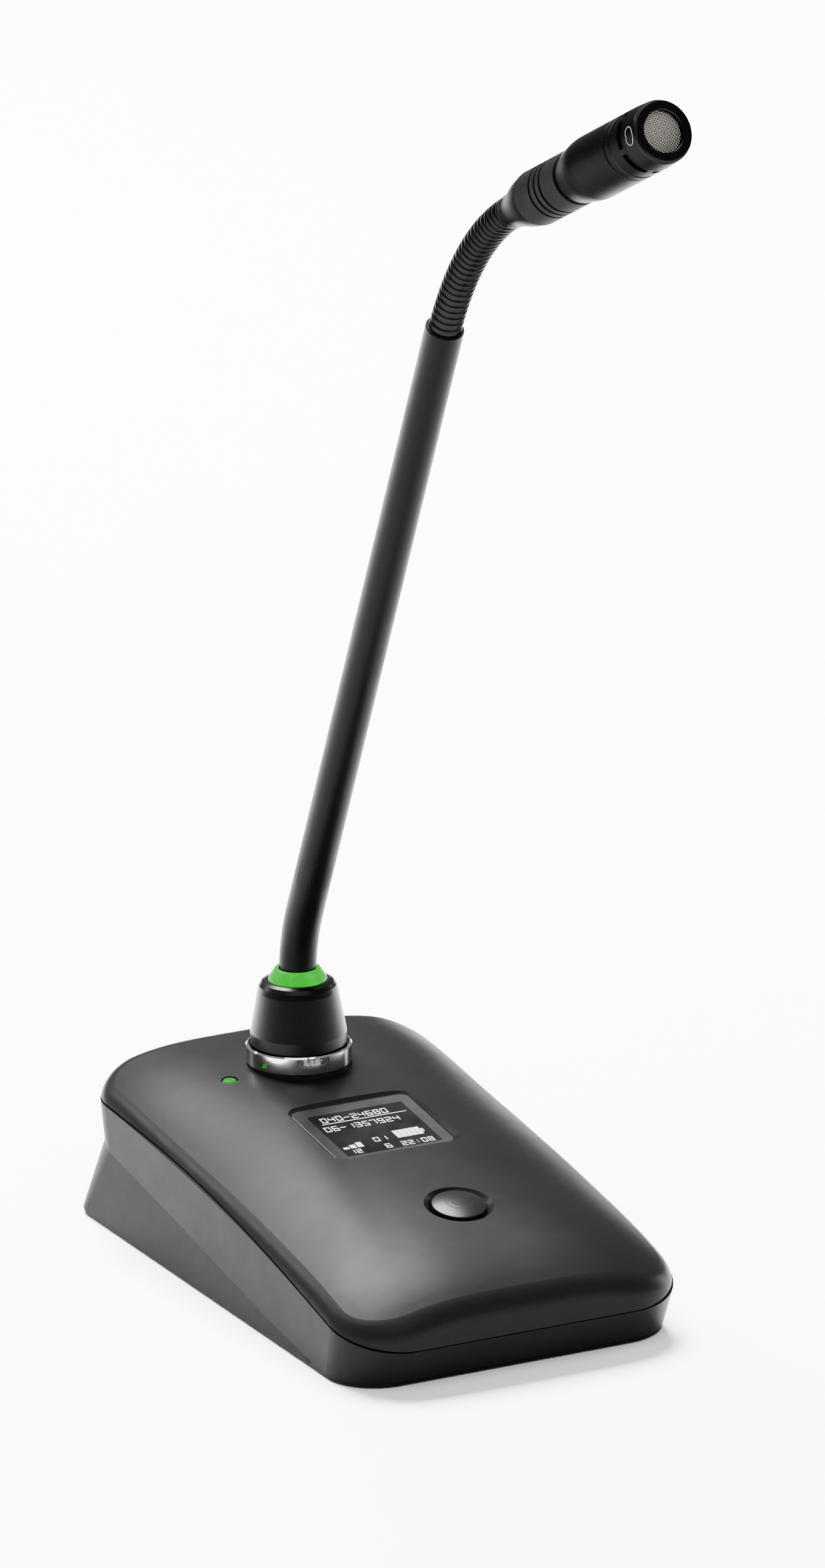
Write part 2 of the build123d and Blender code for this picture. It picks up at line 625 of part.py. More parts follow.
# upper flex: three corrugations on every link
VALLEY_R = 2.8
low_z, high_z = on_ball(UPPER_CUP, VALLEY_R)[1], on_ball(UPPER_DOME, VALLEY_R, UPPER_PITCH)[1]
ridge = (high_z - low_z) / 3
corrugated = [(VALLEY_R, low_z)]
for k in range(3):
    z = low_z + k * ridge
    corrugated += [(VALLEY_R + 0.22, z + 0.15 * ridge), (UPPER_R, z + 0.38 * ridge),
                   (UPPER_R, z + 0.62 * ridge), (VALLEY_R + 0.22, z + 0.85 * ridge), (VALLEY_R, z + ridge)]
for i in range(8):
    save(flex_link(upper[i], UPPER_PITCH, UPPER_DOME, UPPER_CUP, corrugated), f"upper_link_{i + 1}")


# ================================================================= head
CAPSULE_R = 4.4
with BuildPart() as neck_adapter:
    with BuildSketch(Plane(origin=head.origin, x_dir=head.x_dir, z_dir=head.x_dir.cross(head.z_dir))):
        with BuildLine():
            ThreePointArc(on_ball(UPPER_CUP, WIRE_R), on_ball(UPPER_CUP, 2.3), on_ball(UPPER_CUP, 3.2))
            Line(on_ball(UPPER_CUP, 3.2), (3.3, 2.4))
            Spline((3.3, 2.4), (3.6, 4.6), (4.5, 8.0), (5.0, 10.4), (5.15, 11.6))
            Polyline((5.15, 11.6), (4.4, 11.6), (4.4, 14.0), (3.4, 14.0), (3.4, 9.0), (WIRE_R, 7.0),
                     on_ball(UPPER_CUP, WIRE_R))
        make_face()
    revolve(axis=Axis(head.origin, head.z_dir))
save(neck_adapter.part, "neck_adapter")

grip = [(4.73, 11.75), (5.15, 11.75), (5.28, 11.95)]
for z in (17.8, 19.8, 21.7):
    grip += [(5.28, z - 0.35), (4.95, z - 0.2), (4.95, z + 0.2), (5.28, z + 0.35)]
grip += [(5.28, 27.05), (5.15, 27.25), (4.73, 27.25)]
turned(head, grip, "grip_ring")

with BuildPart() as head_body:
    with BuildSketch(Plane(origin=head.origin, x_dir=head.x_dir, z_dir=head.x_dir.cross(head.z_dir))):
        with BuildLine():
            Polyline((4.45, 11.7), (4.7, 11.7), (4.7, 27.5), (5.05, 27.5), (5.15, 27.8))
            Spline((5.15, 27.8), (5.45, 29.6), (5.85, 31.8), (6.08, 33.8))
            Polyline((6.08, 33.8), (6.1, 34.4), (6.0, 34.5), (6.1, 34.6), (6.1, 35.3), (6.0, 35.4),
                     (6.1, 35.5), (6.1, 47.75), (6.0, 47.85), (5.05, 47.85), (5.05, 41.9), (4.2, 41.0),
                     (4.2, 14.1), (4.45, 14.1), (4.45, 11.7))
        make_face()
    revolve(axis=Axis(head.origin, head.z_dir))
save(head_body.part, "head_body")

with BuildPart() as preamp_board:
    with BuildSketch(head.offset(15)):
        Rectangle(7.4, 1.0)
    extrude(amount=24)
save(preamp_board.part, "preamp_board")
turned(head, [(0, 40), (1.0, 40), (1.0, 44.5), (0, 44.5)], "head_contact")

# interchangeable cartridge on the front of the head
CAP_START, FACE_END = 54.9, 59.46
SLOT_Z0, SLOT_Z1 = 53.1, 54.5
with BuildPart() as cartridge_body:
    add(turned(head, [(1.3, 42.4), (4.97, 42.4), (4.97, 48.15), (6.0, 48.15), (6.1, 48.25), (6.1, 49.6),
                      (5.98, 49.9), (5.98, 50.6), (6.1, 50.9), (6.1, CAP_START), (4.9, CAP_START),
                      (4.9, 56.4), (CAPSULE_R + 0.05, 56.4), (CAPSULE_R + 0.05, 50.9), (1.3, 50.9)]))
    with BuildSketch(head.offset(SLOT_Z0)):
        Circle(6.4)
        Circle(CAPSULE_R - 0.1, mode=Mode.SUBTRACT)
        with PolarLocations(5.4, 6, start_angle=12):
            Rectangle(3.4, 1.1, mode=Mode.SUBTRACT)
    extrude(amount=SLOT_Z1 - SLOT_Z0, mode=Mode.SUBTRACT)
save(cartridge_body.part, "cartridge_body")

turned(head, [(4.95, CAP_START + 0.02), (6.0, CAP_START + 0.02), (6.1, CAP_START + 0.15), (5.92, 58.7),
              (5.78, 59.2), (5.45, FACE_END), (4.1, FACE_END), (3.93, FACE_END - 0.2),
              (3.93, 58.4), (4.95, 58.4)], "face_cap")

MESH_PITCH, MESH_HOLE = 0.95, 0.55
with BuildPart() as grille_mesh:
    with BuildSketch(head.offset(58.0)):
        Circle(4.9)
        with Locations(*[((i - 4) * MESH_PITCH, (j - 4) * MESH_PITCH) for i in range(9) for j in range(9)
                         if (i - 4) ** 2 + (j - 4) ** 2 < 17]):
            Rectangle(MESH_HOLE, MESH_HOLE, mode=Mode.SUBTRACT)
    extrude(amount=0.35)
save(grille_mesh.part, "grille_mesh")

turned(head, [(0, 51.0), (CAPSULE_R, 51.0), (CAPSULE_R, 57.3), (CAPSULE_R - 0.3, 57.6), (0, 57.6)], "capsule")
turned(head, [(CAPSULE_R + 0.02, 56.5), (4.9, 56.5), (4.9, 57.9), (CAPSULE_R + 0.02, 57.9)], "capsule_gasket")
turned(head, [(0, 44.9), (1.2, 44.9), (1.2, 50.9), (0, 50.9)], "cartridge_pin")
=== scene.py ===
"""Looks of the gooseneck desktop microphone: detailed surfaces, studio floor, light and camera."""
import json
from math import cos, pi, radians, sin, sqrt

import bmesh
import bpy
from mathutils import Matrix, Vector


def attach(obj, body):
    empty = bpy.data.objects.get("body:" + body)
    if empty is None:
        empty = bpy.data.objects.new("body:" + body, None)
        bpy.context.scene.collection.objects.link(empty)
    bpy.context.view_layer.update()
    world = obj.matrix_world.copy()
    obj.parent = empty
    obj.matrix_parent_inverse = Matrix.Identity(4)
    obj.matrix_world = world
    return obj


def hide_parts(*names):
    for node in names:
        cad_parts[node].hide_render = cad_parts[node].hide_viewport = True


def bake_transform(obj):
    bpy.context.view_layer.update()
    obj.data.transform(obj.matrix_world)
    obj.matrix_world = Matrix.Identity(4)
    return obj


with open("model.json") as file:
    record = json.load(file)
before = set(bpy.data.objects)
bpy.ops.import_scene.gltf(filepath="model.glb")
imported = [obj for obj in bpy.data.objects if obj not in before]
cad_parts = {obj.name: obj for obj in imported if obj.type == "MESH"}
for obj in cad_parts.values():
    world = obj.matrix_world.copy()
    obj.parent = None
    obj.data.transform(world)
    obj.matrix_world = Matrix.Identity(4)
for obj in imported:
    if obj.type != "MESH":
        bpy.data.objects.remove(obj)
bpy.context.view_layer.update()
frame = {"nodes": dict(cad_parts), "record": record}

MM = 0.001
JOINTS = {j["name"]: j for j in frame["record"]["behaviour"]["joints"]}
MIDDLE_Y = 0.02314                       # the base body's middle in the frame


def place(x, y, z):
    """Point given in millimetres from the middle of the base body."""
    return Vector((x * MM, y * MM + MIDDLE_Y, z * MM))


# ------------------------------------------------------------------ materials
def principled(name):
    """New node material; returns it with its nodes, links and shader."""
    material = bpy.data.materials.new(name)
    material.use_nodes = True
    nodes, links = material.node_tree.nodes, material.node_tree.links
    return material, nodes, links, nodes["Principled BSDF"]


def noise(nodes, links, coords, scale, detail=3.0, rough=0.5):
    """Noise texture on the given coordinates; returns its value socket."""
    node = nodes.new("ShaderNodeTexNoise")
    node.inputs["Scale"].default_value = scale
    node.inputs["Detail"].default_value = detail
    node.inputs["Roughness"].default_value = rough
    links.new(coords, node.inputs["Vector"])
    return node.outputs["Fac"]


def spread(nodes, links, value, low, high, start=0.35, stop=0.65):
    """Map a noise value from start..stop to low..high."""
    node = nodes.new("ShaderNodeMapRange")
    for key, number in (("From Min", start), ("From Max", stop), ("To Min", low), ("To Max", high)):
        node.inputs[key].default_value = number
    links.new(value, node.inputs["Value"])
    return node.outputs["Result"]


def mixed(nodes, links, factor, first, second):
    """Colour between two colours by a factor socket."""
    node = nodes.new("ShaderNodeMix")
    node.data_type = "RGBA"
    links.new(factor, node.inputs["Factor"])
    for socket, colour in ((node.inputs[6], first), (node.inputs[7], second)):
        if isinstance(colour, tuple):
            socket.default_value = (*colour, 1)
        else:
            links.new(colour, socket)
    return node.outputs[2]


def surface(name, colour, rough, metallic=0.0, grain=0.0003, depth=0.02, variation=0.18,
            rough_spread=0.07, specular=0.5, edge_wear_and_highlight=None, pale_edge_width=0.0004, stretch=None, edge_tint=1.0):
    """Moulded or machined surface: grain bump, uneven tone and gloss, and paler edges, which are wear on
    the shells and a painted highlight on the button cap's rim.
    """
    material, nodes, links, shader = principled(name)
    coords = nodes.new("ShaderNodeTexCoord").outputs["Object"]
    fine = coords
    if stretch:
        mapping = nodes.new("ShaderNodeMapping")
        mapping.inputs["Scale"].default_value = stretch
        links.new(coords, mapping.inputs["Vector"])
        fine = mapping.outputs["Vector"]
    grains = noise(nodes, links, fine, 1 / grain, 2.0, 0.6)
    patches = noise(nodes, links, coords, 55, 4.0, 0.55)
    smudges = noise(nodes, links, coords, 160, 5.0, 0.6)
    dark = tuple(c * (1 - variation) for c in colour)
    light = tuple(min(1.0, c * (1 + variation)) for c in colour)
    tone = mixed(nodes, links, spread(nodes, links, patches, 0, 1), dark, light)
    speck = mixed(nodes, links, spread(nodes, links, grains, 0, 0.5, 0.4, 0.75), tone, light)
    result = speck
    # Paler colour along edges from the bevel normal, broken up by noise: edge wear on the shells, and a
    # painted highlight on the button cap's rim.
    if edge_wear_and_highlight:
        bevel = nodes.new("ShaderNodeBevel")
        bevel.samples = 4
        bevel.inputs["Radius"].default_value = pale_edge_width
        geometry = nodes.new("ShaderNodeNewGeometry")
        dot = nodes.new("ShaderNodeVectorMath")
        dot.operation = "DOT_PRODUCT"
        links.new(bevel.outputs["Normal"], dot.inputs[0])
        links.new(geometry.outputs["Normal"], dot.inputs[1])
        edge = spread(nodes, links, dot.outputs["Value"], 0.75, 0.0, 0.80, 0.985)
        broken = nodes.new("ShaderNodeMath")
        broken.operation = "MULTIPLY"
        links.new(edge, broken.inputs[0])
        links.new(spread(nodes, links, smudges, 0.15, 1.0, 0.4, 0.6), broken.inputs[1])
        result = mixed(nodes, links, broken.outputs["Value"], speck, edge_wear_and_highlight)
    links.new(result, shader.inputs["Base Color"])
    links.new(spread(nodes, links, smudges, rough - rough_spread, rough + rough_spread),
              shader.inputs["Roughness"])
    shader.inputs["Metallic"].default_value = metallic
    shader.inputs["Specular IOR Level"].default_value = specular
    shader.inputs["Specular Tint"].default_value = (edge_tint, edge_tint, edge_tint, 1)
    bump = nodes.new("ShaderNodeBump")
    bump.inputs["Strength"].default_value = 0.6
    bump.inputs["Distance"].default_value = depth * MM
    links.new(grains, bump.inputs["Height"])
    links.new(bump.outputs["Normal"], shader.inputs["Normal"])
    return material


def glowing(name, colour, strength, core, body):
    """Lit diffuser: light that is uneven round the part, under a slightly frosted surface."""
    material, nodes, links, shader = principled(name)
    coords = nodes.new("ShaderNodeTexCoord").outputs["Object"]
    clouds = noise(nodes, links, coords, 260, 2.0)
    tone = mixed(nodes, links, spread(nodes, links, clouds, 0, 1), colour, core)
    shader.inputs["Base Color"].default_value = (*body, 1)
    links.new(tone, shader.inputs["Emission Color"])
    shader.inputs["Emission Strength"].default_value = strength
    shader.inputs["Specular IOR Level"].default_value = 0.03
    links.new(spread(nodes, links, noise(nodes, links, coords, 900), 0.3, 0.45), shader.inputs["Roughness"])
    bump = nodes.new("ShaderNodeBump")
    bump.inputs["Strength"].default_value = 0.3
    bump.inputs["Distance"].default_value = 0.02 * MM
    links.new(noise(nodes, links, coords, 2500), bump.inputs["Height"])
    links.new(bump.outputs["Normal"], shader.inputs["Normal"])
    return material


SHELL = surface("charcoal_shell", (0.0034, 0.0033, 0.0034), 0.37, grain=0.00022, depth=0.007,
                variation=0.04, rough_spread=0.02, specular=0.024, edge_wear_and_highlight=(0.006, 0.006, 0.0063),
                pale_edge_width=0.0002)
SKIRT = surface("charcoal_skirt", (0.0040, 0.0040, 0.0042), 0.38, grain=0.00022, depth=0.008,
                variation=0.04, rough_spread=0.02, specular=0.013, edge_wear_and_highlight=(0.0055, 0.0055, 0.0058),
                pale_edge_width=0.0002)
# The cap's edge colour is about ten times its surface colour: a painted highlight along the rim.
CAP = surface("satin_cap", (0.0032, 0.0032, 0.0035), 0.27, grain=0.0002, depth=0.0008, variation=0.04,
              rough_spread=0.01, specular=0.06, edge_wear_and_highlight=(0.03, 0.03, 0.032), pale_edge_width=0.00025)
BOOT = surface("black_boot", (0.0004, 0.0004, 0.00045), 0.27, grain=0.00022, depth=0.0006, variation=0.08,
               rough_spread=0.01, specular=0.06)
SLEEVE = surface("black_sleeve", (0.0006, 0.0006, 0.00065), 0.40, grain=0.0004, depth=0.008,
                 variation=0.12, rough_spread=0.03, specular=0.032)
FLEX = surface("black_flex", (0.0062, 0.0062, 0.0065), 0.32, metallic=1.0, grain=0.0002, depth=0.002,
               variation=0.12, rough_spread=0.03, edge_tint=0.45)
ANODISED = surface("black_anodised", (0.0060, 0.0060, 0.0063), 0.36, metallic=1.0, grain=0.00012,
                   depth=0.001, variation=0.08, rough_spread=0.02, edge_tint=0.45)
GRIP = surface("matte_grip", (0.0007, 0.0007, 0.00075), 0.60, grain=0.0005, depth=0.05, variation=0.3,
               rough_spread=0.04, specular=0.02)
RUBBER = surface("foot_rubber", (0.004, 0.004, 0.004), 0.8, grain=0.0006, depth=0.05, variation=0.25,
                 specular=0.1)
CHROME = surface("bright_chrome", (0.50, 0.48, 0.46), 0.07, metallic=1.0, grain=0.0012, depth=0.001,
                 variation=0.03, rough_spread=0.02)
STEEL = surface("turned_steel", (0.30, 0.30, 0.29), 0.32, metallic=1.0, grain=0.0006, depth=0.01,
                variation=0.1, stretch=(1, 1, 8))
BRASS = surface("gold_contact", (0.50, 0.36, 0.15), 0.22, metallic=1.0, grain=0.0006, depth=0.006,
                variation=0.08)
BOARD = surface("green_board", (0.004, 0.030, 0.013), 0.38, grain=0.0008, depth=0.02, variation=0.3,
                specular=0.2)
LENS = surface("smoked_window", (0.0060, 0.0060, 0.0062), 0.30, grain=0.0005, depth=0.001,
               variation=0.05, rough_spread=0.03, specular=0.08)
PANEL = surface("dark_panel", (0.0012, 0.0012, 0.00125), 0.34, grain=0.0004, depth=0.001, variation=0.08,
                specular=0.02)
BATTERY = surface("battery_wrap", (0.02, 0.021, 0.024), 0.5, grain=0.0015, depth=0.03, variation=0.15,
                  specular=0.2)
CABLE = surface("cable_jacket", (0.005, 0.005, 0.005), 0.6, grain=0.0005, depth=0.03, specular=0.1)
MESH_WIRE = surface("silver_wire", (0.26, 0.245, 0.22), 0.30, metallic=1.0, grain=0.0003, depth=0.003,
                    variation=0.10)
CAPSULE = surface("capsule_can", (0.01, 0.01, 0.01), 0.4, metallic=1.0, grain=0.0004, depth=0.01)
INK = surface("pale_ink", (0.20, 0.205, 0.21), 0.5, grain=0.0002, depth=0.002, variation=0.08,
              specular=0.05)
GREEN = glowing("green_light", (0.0, 0.66, 0.015), 1.0, (0.0, 0.95, 0.03), (0.0, 0.004, 0.0004))
LED = glowing("green_lamp", (0.0, 0.40, 0.01), 1.0, (0.0, 0.95, 0.05), (0.0, 0.004, 0.0004))
PIXEL = glowing("lit_pixels", (2.6, 2.6, 2.6), 1.0, (3.2, 3.2, 3.2), (0.05, 0.05, 0.05))

NODE_LOOKS = {
    SHELL: ["top_shell"],
    SKIRT: ["bottom_shell", "battery_door", "power_switch"],
    CAP: ["mute_button"],
    BOOT: ["boot", "socket_body", "plug_body"],
    SLEEVE: ["tube_sleeve", "tube_collar"],
    FLEX: ["neck_root", "neck_tube"],
    ANODISED: ["neck_adapter", "head_body", "cartridge_body", "face_cap"],
    GRIP: ["grip_ring"],
    RUBBER: ["rubber_feet", "capsule_gasket"],
    CHROME: ["chrome_ring"],
    STEEL: ["shell_screws", "board_screws", "ballast_plate", "rf_shield", "slide_switch", "tact_switch"],
    BRASS: ["socket_contacts", "plug_pins", "charge_contacts", "head_contact", "cartridge_pin",
            "battery_contacts"],
    BOARD: ["main_board", "ui_board", "antenna", "ring_board", "preamp_board"],
    LENS: ["display_lens"],
    PANEL: ["display_module"],
    BATTERY: ["battery_pack"],
    CABLE: ["signal_cable"],
    CAPSULE: ["capsule"],
    GREEN: ["light_ring"],
    LED: ["power_led"],
}
for material, names in NODE_LOOKS.items():
    for name in names:
        node = frame["nodes"][name]
        node.data.materials.clear()
        node.data.materials.append(material)


# ------------------------------------------------------------------ mesh helpers
def piece(name, points, faces, material, body=None, sharp=32):
    """Mesh piece with smooth shading that breaks at sharp edges."""
    data = bpy.data.meshes.new(name)
    data.from_pydata([tuple(p) for p in points], [], faces)
    data.validate()
    shaped = bmesh.new()
    shaped.from_mesh(data)
    bmesh.ops.recalc_face_normals(shaped, faces=shaped.faces)
    shaped.to_mesh(data)
    shaped.free()
    data.shade_smooth()
    data.set_sharp_from_angle(angle=radians(sharp))
    data.materials.append(material)
    item = bpy.data.objects.new(name, data)
    bpy.context.scene.collection.objects.link(item)
    if body:
        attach(item, body)
    return item


def skin(rings, closed_ring=True, cap_start=False, cap_end=False):
    """Points and faces of a surface through rings of equal length."""
    count = len(rings[0])
    points = [p for ring in rings for p in ring]
    faces = []
    for i in range(len(rings) - 1):
        for j in range(count if closed_ring else count - 1):
            k = (j + 1) % count
            faces.append((i * count + j, i * count + k, (i + 1) * count + k, (i + 1) * count + j))
    if cap_start:
        faces.append(tuple(range(count)))
    if cap_end:
        faces.append(tuple(range((len(rings) - 1) * count, len(rings) * count)))
    return points, faces


def circle(centre, along, side, radius, count=64):
    """Ring of points round a direction; side fixes where the ring starts."""
    along = along.normalized()
    x = (side - along * side.dot(along)).normalized()
    y = along.cross(x)
    return [centre + (x * cos(2 * pi * i / count) + y * sin(2 * pi * i / count)) * radius
            for i in range(count)]


# ------------------------------------------------------------------ flexible sections
def pivots(names):
    """Places of the named joints."""
    return [Vector(JOINTS[n]["pos_m"]) for n in names]


lower_joints = [("lower_bend_%d" if i % 2 else "lower_lean_%d") % i for i in range(1, 7)]
upper_joints = [("upper_bend_%d" if i % 2 else "upper_lean_%d") % i for i in range(1, 10)]
lower_pivots, upper_pivots = pivots(lower_joints), pivots(upper_joints)
lower_axis = Vector(JOINTS["lower_bend_1"]["axis"])
upper_axis = Vector(JOINTS["upper_bend_1"]["axis"])
tube_way = (upper_pivots[0] - lower_pivots[5]).normalized()
head_way = Vector(JOINTS["cartridge_off"]["axis"]).normalized()


def bend_points(before, pivot, after, count):
    """Smooth run from before to after whose tangents point at the pivot; (point, direction) pairs."""
    run = []
    for i in range(count + 1):
        t = i / count
        point = before * (1 - t) ** 2 + pivot * 2 * t * (1 - t) + after * t**2
        way = (pivot - before) * (1 - t) + (after - pivot) * t
        run.append((point, way.normalized()))
    return run


# sleeve over the lower section: one smooth bend at each joint
SLEEVE_R = 3.65
ROOT_REACH, TUBE_REACH = 1.9, 8.0          # sleeve below the first joint, and above the last along the tube
starts = [lower_pivots[0] - Vector((0, 0, ROOT_REACH * MM))]
starts += [(a + b) / 2 for a, b in zip(lower_pivots, lower_pivots[1:])]
starts.append(lower_pivots[5] + tube_way * TUBE_REACH * MM)
for i, pivot in enumerate(lower_pivots):
    run = bend_points(starts[i], pivot, starts[i + 1], 14)
    rings = [circle(p, way, lower_axis, SLEEVE_R * MM) for p, way in run]
    bend = piece("sleeve_bend_%d" % (i + 1), *skin(rings), SLEEVE)
    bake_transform(bend)
    if i < 5:
        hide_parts("lower_link_%d" % (i + 1))

# wound flexible section: broad rounded turns with narrow grooves between them
TURN = 1.538 * MM
COLLAR_REACH, HEAD_REACH = 1.0, 2.2        # winding inside the tube's collar and the head's cone
WINDING = [(0.00, 2.92), (0.04, 2.96), (0.08, 3.06), (0.15, 3.10), (0.30, 3.13), (0.50, 3.14),
           (0.70, 3.13), (0.85, 3.10), (0.92, 3.06), (0.96, 2.96)]


def winding_radius(s):
    """Radius at a distance along the winding, from WINDING's (share of a turn, radius) pairs."""
    t = (s / TURN) % 1.0
    table = WINDING + [(1.0, WINDING[0][1])]
    (a, ra), (b, rb) = next(pair for pair in zip(table, table[1:]) if t <= pair[1][0])
    return (ra + (rb - ra) * (t - a) / (b - a)) * MM


starts = [upper_pivots[0] - tube_way * COLLAR_REACH * MM]
starts += [(a + b) / 2 for a, b in zip(upper_pivots, upper_pivots[1:])]
starts.append(upper_pivots[8] + head_way * HEAD_REACH * MM)
travelled = 0.0
for i, pivot in enumerate(upper_pivots):
    length = (pivot - starts[i]).length + (starts[i + 1] - pivot).length
    turns = range(int(travelled / TURN), int((travelled + length) / TURN) + 1)
    marks = sorted({0.0, 1.0} | {((k + t) * TURN - travelled) / length
                                 for k in turns for t, _ in WINDING
                                 if 0 < (k + t) * TURN - travelled < length})
    rings = []
    for t in marks:
        point = starts[i] * (1 - t) ** 2 + pivot * 2 * t * (1 - t) + starts[i + 1] * t**2
        way = ((pivot - starts[i]) * (1 - t) + (starts[i + 1] - pivot) * t).normalized()
        rings.append(circle(point, way, upper_axis, winding_radius(travelled + t * length), 56))
    travelled += length
    bend = piece("flex_bend_%d" % (i + 1), *skin(rings), FLEX, sharp=50)
    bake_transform(bend)
    if i < 8:
        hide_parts("upper_link_%d" % (i + 1))


# ------------------------------------------------------------------ display
DECK = place(0, 3.6, 29.35)                # plane of the display parts; the window face is 0.4 mm lower
TILT = radians(7.5)
DECK_U = Vector((1, 0, 0))
DECK_V, DECK_W = Vector((0, cos(TILT), sin(TILT))), Vector((0, -sin(TILT), cos(TILT)))
SCREEN_W, SCREEN_H, WINDOW = 20.2, 18.1, -0.4
SCREEN_FACE, PIXEL_FACE = WINDOW + 0.012, WINDOW + 0.02
SEGMENTS = {"0": "abcdef", "1": "bc", "2": "abged", "3": "abgcd", "4": "fgbc", "5": "afgcd",
            "6": "afgedc", "7": "abc", "8": "abcdefg", "9": "abcdfg", "-": "g"}


def tiles(name, patches, material, low, high):
    """Thin raised rectangles on the window; patches are (left, top, right, bottom) in millimetres."""
    points, faces = [], []
    for left, top, rightmost, bottom in patches:
        base = len(points)
        for w in (low, high):
            for u, v in ((left, bottom), (rightmost, bottom), (rightmost, top), (left, top)):
                points.append(DECK + (DECK_U * u + DECK_V * v + DECK_W * w) * MM)
        faces += [(base, base + 3, base + 2, base + 1), (base + 4, base + 5, base + 6, base + 7)]
        faces += [(base + i, base + (i + 1) % 4, base + 4 + (i + 1) % 4, base + 4 + i) for i in range(4)]
    return piece(name, points, faces, material, "base")


def writing(text, left, bottom, pitch, height, stroke=0.2):
    """Segment digits from a lower left corner; a colon is two dots."""
    wide, mid = pitch * 0.74, height / 2
    high, low = (height - stroke, mid + stroke / 2), (mid - stroke / 2, stroke)
    bars = {"a": (0, height, wide, height - stroke), "g": (0, mid + stroke / 2, wide, mid - stroke / 2),
            "d": (0, stroke, wide, 0), "f": (0, high[0], stroke, high[1]), "e": (0, low[0], stroke, low[1]),
            "b": (wide - stroke, high[0], wide, high[1]), "c": (wide - stroke, low[0], wide, low[1])}
    dots = [(wide / 2 - stroke / 2, level + stroke, wide / 2 + stroke / 2, level)
            for level in (mid * 0.4, mid * 1.3)]
    out = []
    for k, sign in enumerate(text):
        for a, b, c, d in dots if sign == ":" else [bars[name] for name in SEGMENTS[sign]]:
            out.append((left + k * pitch + a, bottom + b, left + k * pitch + c, bottom + d))
    return out


def at(a, b):
    """Screen position from shares of its width and height, top left first."""
    return (a - 0.5) * SCREEN_W, (0.5 - b) * SCREEN_H


screen = tiles("screen_face", [(-SCREEN_W / 2, SCREEN_H / 2, SCREEN_W / 2, -SCREEN_H / 2)], PANEL,
               WINDOW, SCREEN_FACE)
lit = writing("040-24680", *at(0.095, 0.190), 1.60, 1.95)
lit += writing("06-1357924", *at(0.045, 0.400), 1.62, 1.95)
# rule under the first line
x0, y0 = at(0.07, 0.222)
x1, _ = at(0.955, 0.222)
lit.append((x0, y0 + 0.08, x1, y0 - 0.08))
# three rising signal bars
for k in range(3):
    x, y = at(0.035 + 0.075 * k, 0.84)
    lit.append((x, y + 0.75 + 0.62 * k, x + 1.15, y))
lit += writing("12", *at(0.060, 0.965), 1.40, 1.60)
lit += writing("01", *at(0.385, 0.785), 1.60, 1.75) + writing("6", *at(0.435, 0.965), 1.60, 1.75)
# battery of five cells with its tip
x0, y0 = at(0.625, 0.785)
x1, y1 = at(0.905, 0.615)
for k in range(5):
    wide = (x1 - x0) / 5
    lit.append((x0 + wide * k, y1, x0 + wide * (k + 1) - 0.14, y0))
lit.append((x1, y1 - 0.9, x1 + 0.42, y0 + 0.9))
lit += writing("22:08", *at(0.600, 0.975), 1.42, 1.75)
pixels = tiles("screen_pixels", lit, PIXEL, SCREEN_FACE, PIXEL_FACE)


# ------------------------------------------------------------------ woven grille and polar symbol
HEAD = upper_pivots[8]
head_x = (upper_axis - head_way * upper_axis.dot(head_way)).normalized()
head_y = head_way.cross(head_x)
GRILLE_W, GRILLE_R, WEAVE = 58.15, 4.75, 0.325    # distance from the last pivot, radius, wire spacing
WIRE_R, WIRE_LIFT, WIRE_SIDES = 0.078, 0.055, 6


def wires():
    """Points and faces of two crossing families of waved wires within the grille's circle."""
    points, faces = [], []
    lanes = int(GRILLE_R / WEAVE)
    for family in (0, 1):
        for lane in range(-lanes, lanes + 1):
            off = lane * WEAVE
            half = sqrt(GRILLE_R**2 - off**2)
            steps = max(2, int(2 * half / (WEAVE / 2)))
            base = len(points)
            for i in range(steps + 1):
                along = -half + 2 * half * i / steps
                phase = pi * (along / WEAVE + lane + family)
                lift = WIRE_LIFT * cos(phase)
                a, b = (along, off) if family == 0 else (off, along)
                centre = HEAD + (head_x * a + head_y * b + head_way * (GRILLE_W + lift)) * MM
                side = head_y if family == 0 else head_x
                for j in range(WIRE_SIDES):
                    turn = 2 * pi * j / WIRE_SIDES
                    points.append(centre + (side * cos(turn) + head_way * sin(turn)) * WIRE_R * MM)
            for i in range(steps):
                this, following = base + i * WIRE_SIDES, base + (i + 1) * WIRE_SIDES
                for j in range(WIRE_SIDES):
                    k = (j + 1) % WIRE_SIDES
                    faces.append((this + j, this + k, following + k, following + j))
            faces.append(tuple(base + j for j in range(WIRE_SIDES)))
            faces.append(tuple(base + steps * WIRE_SIDES + j for j in range(WIRE_SIDES)))
    return points, faces


grille = piece("woven_grille", *wires(), MESH_WIRE, "cartridge", sharp=60)
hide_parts("grille_mesh")


def on_cap(turn, w, r):
    """Point on the face cap: turn round the head axis in radians, distance along it, radius."""
    return HEAD + (head_x * cos(turn) * r + head_y * sin(turn) * r + head_way * w) * MM


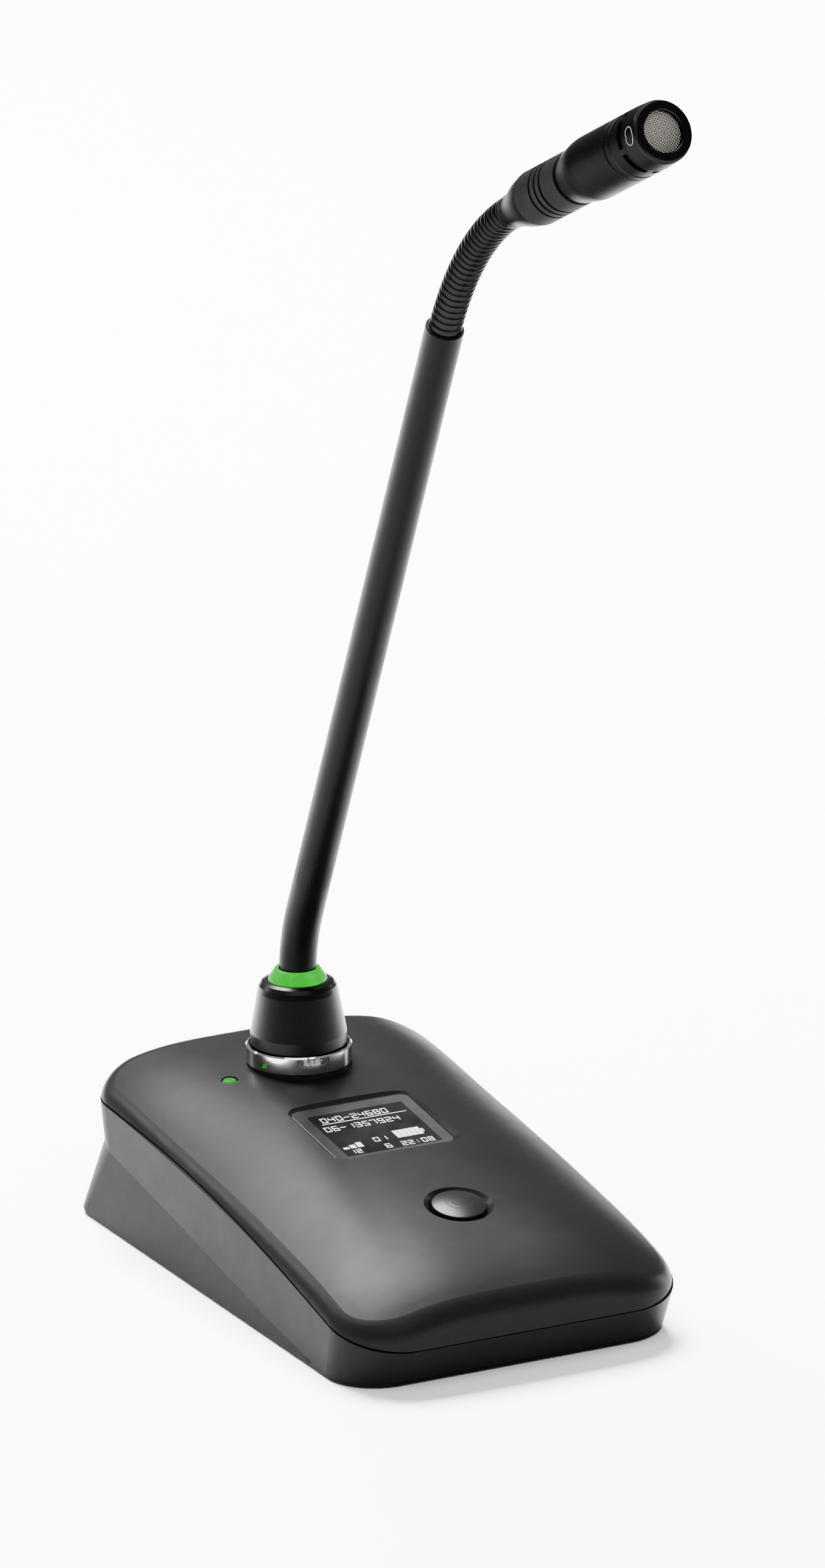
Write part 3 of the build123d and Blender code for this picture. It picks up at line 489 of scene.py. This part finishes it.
# printed cardioid, the sign of a one-sided pickup, on the slightly conical cap
SYMBOL_TURN, SYMBOL_W, SYMBOL_WIDE, SYMBOL_TALL = radians(172), 57.2, 2.65, 2.0
SYMBOL_STEPS, LINE_HALF, INK_T = 72, 0.05, 0.02
CAP_START_W, CAP_START_R, CAP_SLOPE, INK_GAP = 55.05, 6.1, 0.0493, 0.004
outline = []
for i in range(SYMBOL_STEPS + 1):
    t = 2 * pi * i / SYMBOL_STEPS
    size = 0.5 * (1 + 0.99 * cos(t))
    outline.append((size * sin(t) * SYMBOL_WIDE, size * cos(t) * SYMBOL_TALL - 0.8))
rings = []
for i in range(SYMBOL_STEPS):
    (x, y), (xn, yn) = outline[i], outline[(i + 1) % SYMBOL_STEPS]
    dx, dy = xn - x, yn - y
    n = sqrt(dx * dx + dy * dy) or 1
    ring = []
    for side, lift in ((-LINE_HALF, 0.0), (LINE_HALF, 0.0), (LINE_HALF, INK_T), (-LINE_HALF, INK_T)):
        px, py = x - dy / n * side, y + dx / n * side
        w = SYMBOL_W + py
        r = CAP_START_R - (w - CAP_START_W) * CAP_SLOPE + INK_GAP + lift
        ring.append(on_cap(SYMBOL_TURN + px / 6.05, w, r))
    rings.append(ring)
rings.append(rings[0])
symbol = piece("pattern_symbol", *skin(rings), INK, "cartridge")


# ------------------------------------------------------------------ studio
floor = piece("studio_floor", *skin([[Vector((x, y, 0)) for x in (-1.6, 1.6)] for y in (-1.3, 1.7)],
                                    closed_ring=False),
              surface("pale_floor", (0.93, 0.93, 0.93), 0.8, grain=0.002, depth=0.01, variation=0.005,
                      rough_spread=0.02, specular=0.1))


def softbox(name, centre, target, size, power, colour=(1, 1, 1)):
    """Rectangular soft light aimed at a point."""
    data = bpy.data.lights.new(name, "AREA")
    data.shape = "RECTANGLE"
    data.size, data.size_y = size
    data.energy = power
    data.color = colour
    lamp = bpy.data.objects.new(name, data)
    lamp.location = centre
    lamp.rotation_euler = (Vector(target) - Vector(centre)).to_track_quat("-Z", "Y").to_euler()
    bpy.context.scene.collection.objects.link(lamp)


softbox("key_front", (-0.6, -1.4, 2.2), (0, 0.2, 0), (2.4, 2.4), 90)
softbox("top_back", (0.0, 1.05, 1.85), (0, 0.1, 0), (1.3, 1.0), 560)
softbox("left_shoulder", (-1.05, 1.75, 1.30), (0, 0, 0.03), (0.5, 0.4), 45)
softbox("right_edge", (1.6, 0.25, 0.12), (0, 0, 0.12), (0.25, 0.9), 25)

world = bpy.data.worlds.new("studio_world")
world.use_nodes = True
world.node_tree.nodes["Background"].inputs["Color"].default_value = (1, 1, 1, 1)
world.node_tree.nodes["Background"].inputs["Strength"].default_value = 0.5
bpy.context.scene.world = world

# ------------------------------------------------------------------ camera at the photograph's angle
right = Vector((0.89462948, -0.44657787, -0.01436327))
up = Vector((0.14462914, 0.25902051, 0.95498209))
ahead = Vector((0.42275349, 0.85643247, -0.29631556))
camera_data = bpy.data.cameras.new("photo_camera")
camera_data.lens = 251.55
camera_data.sensor_width = 36
camera_data.clip_end = 20
camera = bpy.data.objects.new("photo_camera", camera_data)
bpy.context.scene.collection.objects.link(camera)
spot = place(-869.30, -1775.98, 712.30)
camera.matrix_world = Matrix(((right.x, up.x, -ahead.x, spot.x), (right.y, up.y, -ahead.y, spot.y),
                              (right.z, up.z, -ahead.z, spot.z), (0, 0, 0, 1)))
bpy.context.scene.camera = camera
